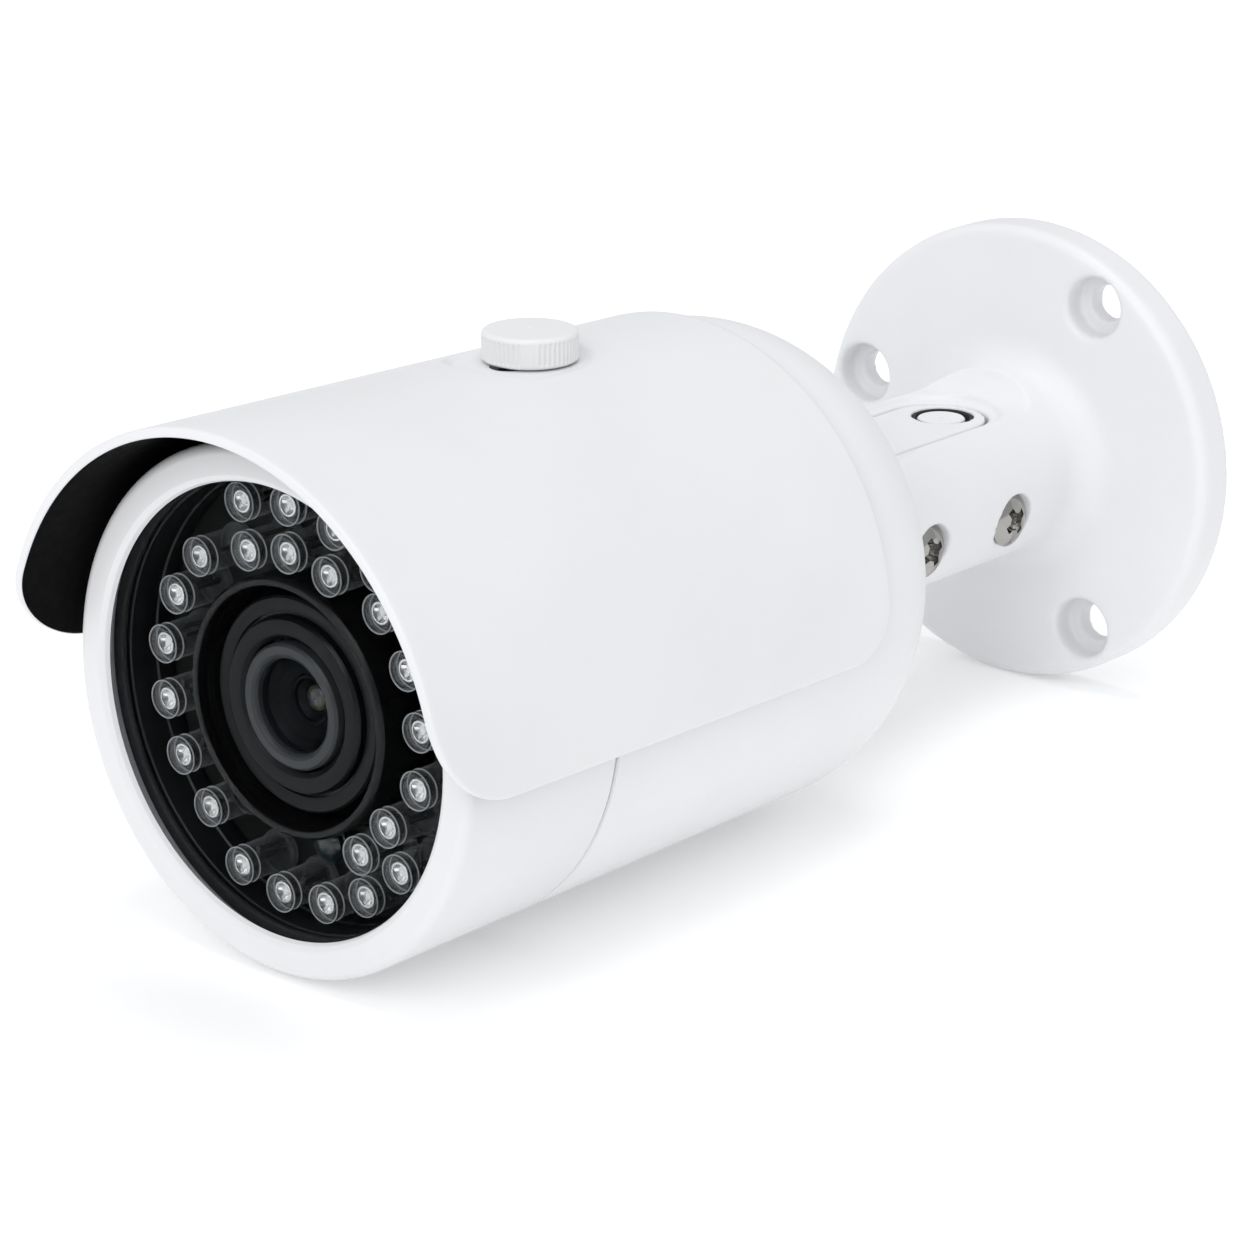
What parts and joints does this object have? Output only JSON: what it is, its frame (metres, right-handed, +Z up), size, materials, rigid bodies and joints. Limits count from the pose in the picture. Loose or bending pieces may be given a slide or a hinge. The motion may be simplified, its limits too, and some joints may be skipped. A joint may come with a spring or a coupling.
{
  "type": "security camera",
  "caption": "Outdoor bullet security camera: round body with LED ring, sliding sunshield and thumbscrew, on a tilting and rolling wall bracket with a round flange.",
  "frame": {"origin": "centre of the bracket flange's wall face", "axes": "+Y out of the wall face into the wall, so the camera reaches along -Y and its lens looks along -Y; +Z up; +X to the right seen from in front of the wall's back, that is looking along +Y"},
  "size_m": [0.073, 0.1647, 0.072],
  "materials": {
    "white_paint": "fine satin powder coat",
    "white_plastic": "satin moulded",
    "stainless": "polished stainless",
    "brass": "nickel plated",
    "aluminium": "as cast",
    "black_rubber": "matt",
    "black_plastic": "fine matt",
    "black_metal": "black anodised, satin",
    "clear_glass": "polished flat window",
    "lens_glass": "polished, anti-reflection coated",
    "black_board": "black solder mask with clear LED domes",
    "green_board": "green solder mask",
    "chip": "moulded epoxy",
    "thermal_pad": "soft grey silicone",
    "filter_glass": "coated filter glass"
  },
  "bodies": {
    "bracket": {"wall_flange": "white_paint", "pivot_screw": "stainless", "clamp_screw": "stainless", "cable_grommet": "black_rubber"},
    "arm": {"tilt_arm": "white_paint", "arm_port_plug": "white_plastic", "pivot_bush": "black_plastic", "lock_nut": "stainless", "thrust_washer": "black_plastic"},
    "camera": {"main_housing": "white_paint", "rear_o_ring": "black_rubber", "front_barrel": "white_paint", "barrel_o_ring": "black_rubber", "front_glass": "clear_glass", "glass_gasket": "black_rubber", "board_spacer": "black_plastic", "ir_led_board": "black_board", "light_sensor": "lens_glass", "lens_hood": "black_metal", "lens_barrel": "black_metal", "lens_front_element": "lens_glass", "lens_retaining_ring": "black_metal", "lens_rear_element": "lens_glass", "lens_holder": "black_plastic", "ir_cut_frame": "black_plastic", "sensor_board": "green_board", "image_sensor": "chip", "carrier": "aluminium", "main_board": "green_board", "processor": "chip", "thermal_pad": "thermal_pad", "heat_sink": "aluminium", "standoff_1": "brass", "standoff_2": "brass", "standoff_3": "brass", "standoff_4": "brass"},
    "shield": {"sunshield": "white_paint"},
    "screw_lift": {"thumbscrew_washer": "stainless"},
    "knob": {"thumbscrew": "white_plastic"},
    "filter": {"ir_cut_filter": "filter_glass"}
  },
  "joints": [
    {"name": "tilt", "type": "hinge", "parent": "bracket", "child": "arm", "pos_m": [0, -0.042, -0.004], "axis": [1, 0, 0], "range_deg": [0, 80]},
    {"name": "roll", "type": "hinge", "parent": "arm", "child": "camera", "pos_m": [0, -0.0583, 0], "axis": [0, 1, 0], "range_deg": [-175, 175]},
    {"name": "shield_slide", "type": "slide", "parent": "camera", "child": "shield", "axis": [0, 1, 0], "range_m": [0, 0.004]},
    {"name": "screw_travel", "type": "slide", "parent": "camera", "child": "screw_lift", "axis": [0, 0, 1], "range_m": [0, 0.0021]},
    {"name": "knob_turn", "type": "hinge", "parent": "screw_lift", "child": "knob", "pos_m": [0, -0.1093, 0.0364], "axis": [0, 0, 1], "range_deg": [0, 1085]},
    {"name": "filter_switch", "type": "slide", "parent": "camera", "child": "filter", "axis": [1, 0, 0], "range_m": [0, 0.0089]}
  ],
  "couplings": [
    {"joint": "knob_turn", "follows": "screw_travel", "rad_per_m": 8976}
  ]
}
